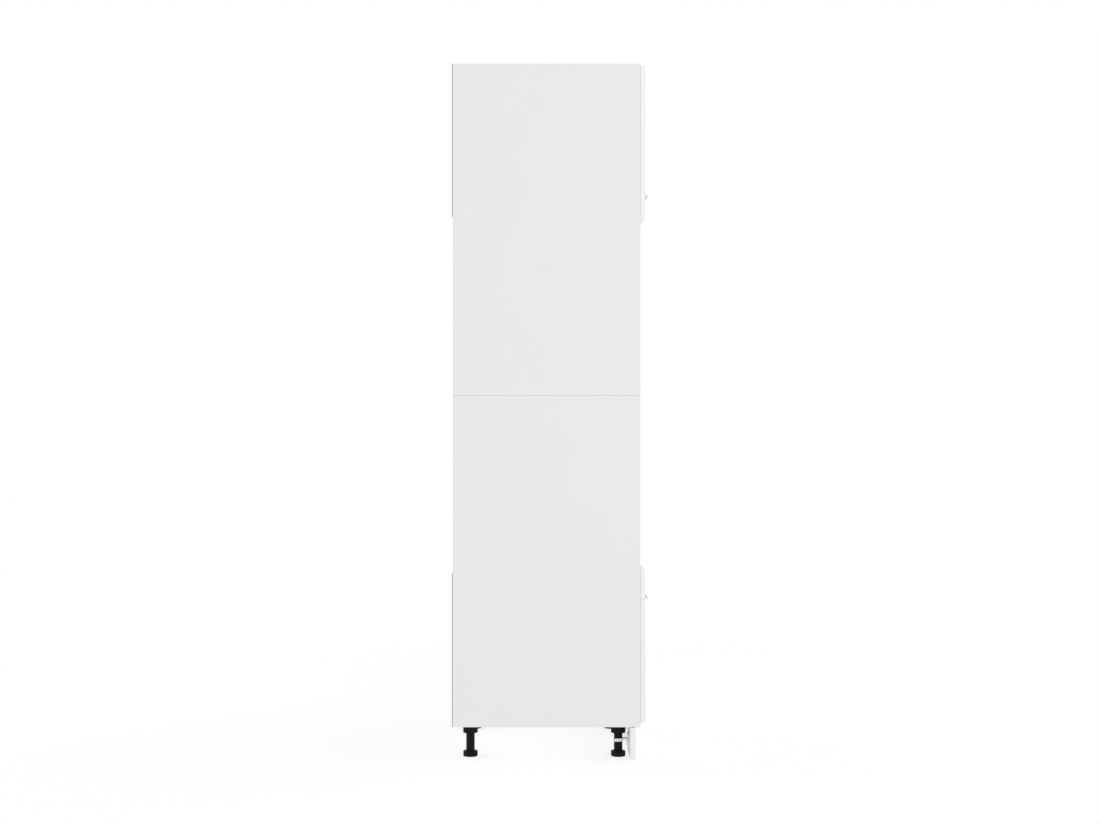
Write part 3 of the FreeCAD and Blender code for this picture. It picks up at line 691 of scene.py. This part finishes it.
# Moulded clips with eased edges, their rings less tall than the solid's
pressAngle = 50  # only corners sharper than this are eased on clips, pads and pressings
clipShape = {"edge": 0.0006, "edgeSteps": 2, "plate": 0.004, "ringLift": 0.0025, "reach": 0.0001}
clips = solidCopy("plinth_clips", "plinthClips")
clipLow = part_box("plinth_clips")[0]
intoEdit()
chooseFaces(lambda middle, normal: looksDown(normal) and middle.z < clipLow.z + clipShape["reach"]
            and middle.y > clipLow.y + clipShape["plate"])
bpy.ops.transform.translate(value=(0, 0, clipShape["ringLift"]))
soften(outOfEdit(), clipShape["edge"], clipShape["edgeSteps"], pressAngle)
standFor(smoothen(clips), clipFinish, "clip_plastic", "plinth", "plinth_clips")

# Soft pads on the backs of the fronts
padShape = {"edge": 0.00025, "edgeSteps": 3}
for level in levels:
    pads = solidCopy(level + "_door_bumpers", level + "SoftPads")
    soften(pads, padShape["edge"], padShape["edgeSteps"], pressAngle)
    standFor(smoothen(pads, pressAngle), padFinish, "bumper", level + "_front", level + "_door_bumpers")

# Hinge pressings with eased edges
hingeEdge = {"arm": 0.0006, "plate": 0.0004, "cup": 0.00025, "link": 0.0003}
hingeSteps = 2
for level in levels:
    for spot in ("low", "high"):
        for kind, width in hingeEdge.items():
            node = "%s_hinge_%s_%s" % (level, spot, kind)
            pressing = solidCopy(node, level + spot.title() + "Hinge" + kind.title())
            soften(pressing, width, hingeSteps, pressAngle)
            standFor(smoothen(pressing), steelFinish, "plated_steel", nodeBody[node], node)
print("pressings softened")

# Adjusting screws and rivet heads of the hinge arms
armLook = {"top": -0.2582, "adjusters": (-0.2385, -0.2185), "pinX": -0.261, "pinY": -0.2645, "half": 0.0056}
rivetLook = {"sides": 24, "radius": 0.0023, "sunk": 0.0008, "proud": 0.0005, "edge": 0.0004, "edgeSteps": 3}
armHeights = [z for heights in hingeHeights.values() for z in heights]
adjusterSpots = [(armLook["top"], y, z) for z in armHeights for y in armLook["adjusters"]]
screwSet("adjustingScrews", adjusterSpots, facingRight, "carcass")


def rivetHead(look):
    rivet = addCylinder(look["sides"], look["radius"], -look["sunk"], look["proud"])
    intoEdit()
    chooseTopEdges(look["proud"])
    ease(look["edge"], look["edgeSteps"])
    outOfEdit()
    return smoothen(rivet)


rivetPattern = rivetHead(rivetLook)
rivets = []
for z in armHeights:
    for end, facing in ((1, facingUp), (-1, facingDown)):
        spot = Matrix.Translation((armLook["pinX"], armLook["pinY"], z + end * armLook["half"]))
        rivets.append(copyTo(rivetPattern, spot @ facing))
discard(rivetPattern)
standFor(gather(rivets, "armRivets"), steelFinish, "plated_steel", "carcass")
discard(screwPattern)
print("hinge fittings modelled")

# Shelf pins with a thin collar against the side board
pinLook = {
    "sides": 28, "radius": 0.0024, "collar": 0.0038, "collarThick": 0.0007, "sunk": 0.0089, "reach": 0.008,
    "nose": 0.0008, "noseSteps": 3, "wall": 0.284, "lines": (-0.2085, 0.2185), "heights": (0.325, 1.847),
}


def shelfPin(look):
    pin = addCylinder(look["sides"], look["radius"], -look["sunk"], 0.0)
    widen = look["collar"] / look["radius"]
    intoEdit()
    chooseFaces(lambda middle, normal: looksUp(normal))
    pull((0, 0, 0))  # widened where it is, for the collar's flat underside
    bpy.ops.transform.resize(value=(widen, widen, 1))
    pull((0, 0, look["collarThick"]))
    bpy.ops.mesh.inset(thickness=look["collar"] - look["radius"])
    pull((0, 0, look["reach"] - look["collarThick"]))
    chooseTopEdges(look["reach"])
    ease(look["nose"], look["noseSteps"])
    outOfEdit()
    return smoothen(pin)


pinPattern = shelfPin(pinLook)
pinCopies = []
for z in pinLook["heights"]:
    for y in pinLook["lines"]:
        for side, facing in ((-1, facingRight), (1, facingLeft)):
            spot = Matrix.Translation((side * pinLook["wall"], y, z))
            pinCopies.append(copyTo(pinPattern, spot @ facing))
discard(pinPattern)
standFor(gather(pinCopies, "shelfPins"), steelFinish, "plated_steel", "carcass", "shelf_pins")
print("shelf pins modelled")

# Legs: fluted socket over a keyed tube, and a foot with grip notches on a threaded stem
legShape = {
    "sides": 48, "socket": 0.022, "tube": 0.0128, "top": 0.1, "socketEnd": 0.071, "tubeEnd": 0.0203,
    "bore": 0.0081, "boreTop": 0.068, "rimRound": 0.001, "wallSpare": 0.002,
    "flute": 0.0007, "fluteIn": 0.0004, "fluteEvery": 4,
    "key": 0.0005, "keyIn": 0.0003, "keyEvery": 6, "firstKey": 3,
}
footShape = {
    "sides": 54, "radius": 0.0218, "rim": 0.016, "collar": 0.0128, "height": 0.0196, "bevel": 0.003,
    "bevelSteps": 3, "shoulder": 0.001, "stem": 0.0079, "stemTop": 0.066, "thread": 0.0007, "pitch": 0.003,
    "notch": 0.0009, "notchIn": 0.0003, "notchEvery": 3,
    "soleRim": 0.0025, "soleStep": 0.0008, "hollow": 0.001,
}


def sideCount(middle, sides):
    # number of the side face that this point lies on, counted round the axis
    return int((atan2(middle.y, middle.x) / (2 * pi) * sides) % sides)


def sink(border, depth):
    # presses a framed panel into each chosen face
    bpy.ops.mesh.inset(thickness=border, use_individual=True)
    bpy.ops.transform.shrink_fatten(value=-depth)


def screwLeg(look):
    leg = addCylinder(look["sides"], look["socket"], look["socketEnd"], look["top"])
    intoEdit()
    chooseFaces(lambda middle, normal: looksDown(normal))
    bpy.ops.mesh.inset(thickness=look["socket"] - look["tube"])
    pull((0, 0, look["tubeEnd"] - look["socketEnd"]))
    bpy.ops.mesh.inset(thickness=look["tube"] - look["bore"])
    pull((0, 0, look["boreTop"] - look["tubeEnd"]))
    chooseEdges(lambda a, b: max(abs(p.z - look["socketEnd"]) for p in (a, b)) < snap["touch"]
                and min(fromAxis(a), fromAxis(b)) > look["socket"] - snap["ring"])
    ease(look["rimRound"])
    chooseFaces(lambda middle, normal: standsUpright(normal) and middle.z > look["socketEnd"]
                and fromAxis(middle) > look["tube"] + look["wallSpare"]
                and sideCount(middle, look["sides"]) % look["fluteEvery"] == 0)
    sink(look["fluteIn"], look["flute"])
    chooseFaces(lambda middle, normal: standsUpright(normal) and middle.z < look["socketEnd"]
                and fromAxis(middle) > look["bore"] + look["wallSpare"]
                and sideCount(middle, look["sides"]) % look["keyEvery"] == look["firstKey"])
    sink(look["keyIn"], look["key"])
    outOfEdit()
    return smoothen(leg)


def screwFoot(look):
    foot = addCylinder(look["sides"], look["radius"], 0.0, look["rim"])
    intoEdit()
    chooseEdges(lambda a, b: max(a.z, b.z) < snap["touch"])
    ease(look["bevel"], look["bevelSteps"])
    chooseTopEdges(look["rim"])
    ease(look["shoulder"])
    chooseFaces(lambda middle, normal: standsUpright(normal)
                and sideCount(middle, look["sides"]) % look["notchEvery"] == 0)
    sink(look["notchIn"], look["notch"])
    chooseFaces(lambda middle, normal: looksDown(normal) and middle.z < snap["ring"])
    bpy.ops.mesh.inset(thickness=look["soleRim"])
    bpy.ops.mesh.inset(thickness=look["soleStep"])
    bpy.ops.transform.translate(value=(0, 0, look["hollow"]))
    chooseFaces(lambda middle, normal: looksUp(normal) and middle.z > look["rim"] - snap["ring"])
    bpy.ops.mesh.inset(thickness=look["radius"] - look["shoulder"] - look["collar"])
    pull((0, 0, look["height"] - look["rim"]))
    bpy.ops.mesh.inset(thickness=look["collar"] - look["stem"])
    turns = int((look["stemTop"] - look["height"]) / look["pitch"])
    halfTurn = (look["stemTop"] - look["height"]) / turns / 2
    root = (look["stem"] - look["thread"]) / look["stem"]
    for width in (root, 1 / root) * turns:
        pull((0, 0, halfTurn))
        bpy.ops.transform.resize(value=(width, width, 1))
    outOfEdit()
    return smoothen(foot)


legPattern, footPattern = screwLeg(legShape), screwFoot(footShape)
for line in ("front", "rear"):
    for side in ("left", "right"):
        corner, name = line + "_" + side, line + side.title()
        low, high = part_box("leg_" + corner)
        spot = Matrix.Translation(((low.x + high.x) / 2, (low.y + high.y) / 2, 0))
        leg = gather([copyTo(legPattern, spot)], name + "Leg")
        standFor(leg, legFinish, "leg_plastic", "carcass", "leg_" + corner)
        foot = gather([copyTo(footPattern, spot)], name + "Foot")
        standFor(foot, legFinish, "leg_plastic", "foot_" + corner, "foot_" + corner)
discard(legPattern)
discard(footPattern)
print("legs and feet modelled")

# Back panels held by small nails, heads sunk level with the panel's box
panelLook = {"spare": 0.00025, "edge": 0.0004}
nailLook = {
    "sides": 14, "radius": 0.0021, "deep": 0.0012, "edge": 0.0003, "inFromEdge": 0.008, "apart": 0.11,
}


def nailHead(look):
    nail = addCylinder(look["sides"], look["radius"], -look["deep"], 0.0)
    intoEdit()
    chooseTopEdges(0.0)
    ease(look["edge"])
    outOfEdit()
    return smoothen(nail)


nailPattern = nailHead(nailLook)
nails = []
for level in levels:
    low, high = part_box(level + "_back_panel")
    panel = addBlock(low, (high.x, high.y - panelLook["spare"], high.z))
    soften(panel, panelLook["edge"])
    standFor(gather([smoothen(panel)], level + "BackSheet"), hardboardFinish, "back_board", "carcass",
             level + "_back_panel")
    inset = nailLook["inFromEdge"]
    rows = int((high.z - low.z) / nailLook["apart"])
    columns = int((high.x - low.x) / nailLook["apart"])
    spots = [(side * (high.x - inset), low.z + inset + (high.z - low.z - 2 * inset) * n / rows)
             for side in (-1, 1) for n in range(rows + 1)]
    spots += [(low.x + inset + (high.x - low.x - 2 * inset) * n / columns, z)
              for z in (low.z + inset, high.z - inset) for n in range(1, columns)]
    for x, z in spots:
        nails.append(copyTo(nailPattern, Matrix.Translation((x, high.y, z)) @ facingBack))
discard(nailPattern)
standFor(gather(nails, "panelNails"), steelFinish, "plated_steel", "carcass")
print("back sheets modelled:", len(nails), "nails")

# Soft pale studio: white where the camera looks past the object, even light on it from all round
studio = {
    "worldLight": 0.69, "seenWhite": 1.0, "floorSize": 80.0, "floorGlow": 0.82, "floorBounce": 0.3,
    "seenGlow": 0.68, "seenShade": 0.37, "shadeEnds": (1.0, 2.6),
}


def lookedAt(tree):
    # true for what the camera sees, straight or in a shiny or clear surface
    path = tree.nodes.new("ShaderNodeLightPath")
    direct = sums(tree, "MAXIMUM", path.outputs["Is Camera Ray"], path.outputs["Is Glossy Ray"])
    return sums(tree, "MAXIMUM", direct, path.outputs["Is Transmission Ray"])


def mixShaders(tree, share, first, second):
    node = tree.nodes.new("ShaderNodeMixShader")
    tree.links.new(share, node.inputs[0])
    tree.links.new(first, node.inputs[1])
    tree.links.new(second, node.inputs[2])
    return node.outputs[0]


world = bpy.data.worlds.new("paleStudio")
bpy.context.scene.world = world
world.use_nodes = True
worldTree = world.node_tree
worldTree.nodes.clear()
backgrounds = []
for strength in (studio["worldLight"], studio["seenWhite"]):
    background = worldTree.nodes.new("ShaderNodeBackground")
    background.inputs["Color"].default_value = (1, 1, 1, 1)
    background.inputs["Strength"].default_value = strength
    backgrounds.append(background.outputs[0])
worldOut = worldTree.nodes.new("ShaderNodeOutputWorld")
worldTree.links.new(mixShaders(worldTree, lookedAt(worldTree), *backgrounds), worldOut.inputs["Surface"])

# Lit white floor: a soft shadow under the object, plain white further out
bpy.ops.object.select_all(action="DESELECT")
bpy.ops.mesh.primitive_plane_add(size=studio["floorSize"], location=(0, 0, 0))
floor = bpy.context.object
floor.name = "studioFloor"
floorFinish = bpy.data.materials.new("litFloor")
floorFinish.use_nodes = True
floorTree = floorFinish.node_tree
floorTree.nodes.clear()


def glowing(strength):
    emission = floorTree.nodes.new("ShaderNodeEmission")
    emission.inputs["Strength"].default_value = strength
    return emission.outputs[0]


def litFloor(glow, shade):
    diffuse = floorTree.nodes.new("ShaderNodeBsdfDiffuse")
    diffuse.inputs["Color"].default_value = (shade, shade, shade, 1.0)
    both = floorTree.nodes.new("ShaderNodeAddShader")
    floorTree.links.new(glowing(glow), both.inputs[0])
    floorTree.links.new(diffuse.outputs[0], both.inputs[1])
    return both.outputs[0]


floorCoords = floorTree.nodes.new("ShaderNodeTexCoord").outputs["Object"]
fromMiddle = floorTree.nodes.new("ShaderNodeVectorMath")
fromMiddle.operation = "LENGTH"
floorTree.links.new(floorCoords, fromMiddle.inputs[0])
farOff = spread(floorTree, fromMiddle.outputs["Value"], 0.0, 1.0, *studio["shadeEnds"])
shadedFloor = litFloor(studio["seenGlow"], studio["seenShade"])
seenFloor = mixShaders(floorTree, farOff, shadedFloor, glowing(studio["seenWhite"]))
lightFloor = litFloor(studio["floorGlow"], studio["floorBounce"])
floorOut = floorTree.nodes.new("ShaderNodeOutputMaterial")
floorLook = mixShaders(floorTree, lookedAt(floorTree), lightFloor, seenFloor)
floorTree.links.new(floorLook, floorOut.inputs["Surface"])
floor.data.materials.append(floorFinish)

lampAim = Vector((0, 0, 0.9))
lamps = {
    "sideLamp": {"place": (-4.6, -1.2, 1.8), "size": 3.0, "power": 30.0},
    "frontLamp": {"place": (0.8, -4.8, 1.5), "size": 3.0, "power": 38.0},
    "rearLamp": {"place": (1.8, 4.6, 1.3), "size": 2.6, "power": 42.0},
    "topLamp": {"place": (0.0, 0.0, 5.2), "size": 4.0, "power": 26.0},
}
for name, lamp in lamps.items():
    data = bpy.data.lights.new(name, "AREA")
    data.energy = lamp["power"]
    data.size = lamp["size"]
    thing = bpy.data.objects.new(name, data)
    bpy.context.scene.collection.objects.link(thing)
    thing.location = lamp["place"]
    thing.rotation_mode = "QUATERNION"
    thing.rotation_quaternion = (lampAim - Vector(lamp["place"])).to_track_quat("-Z", "Y")
print("studio lit")

# The camera stands square to the left side, level with the middle of the cabinet and a little to its rear
shot = {
    "distance": 5.0, "height": 1.0358, "across": 0.0682, "focalPixels": 1684.27, "imageWidth": 1100,
    "shiftPixels": 23.0,  # brings the cabinet back to the middle of the picture
    "sensor": 36.0,
}
camera = bpy.data.cameras.new("sideCamera")
camera.sensor_fit = "HORIZONTAL"
camera.sensor_width = shot["sensor"]
camera.lens = shot["focalPixels"] / shot["imageWidth"] * shot["sensor"]
camera.shift_x = shot["shiftPixels"] / shot["imageWidth"]
cameraThing = bpy.data.objects.new("sideCamera", camera)
bpy.context.scene.collection.objects.link(cameraThing)
cameraThing.location = (cadBox[0].x - shot["distance"], shot["across"], shot["height"])
cameraThing.rotation_euler = (pi / 2, 0, -pi / 2)
bpy.context.scene.camera = cameraThing
bpy.context.scene.view_settings.view_transform = "Standard"
print("camera set")
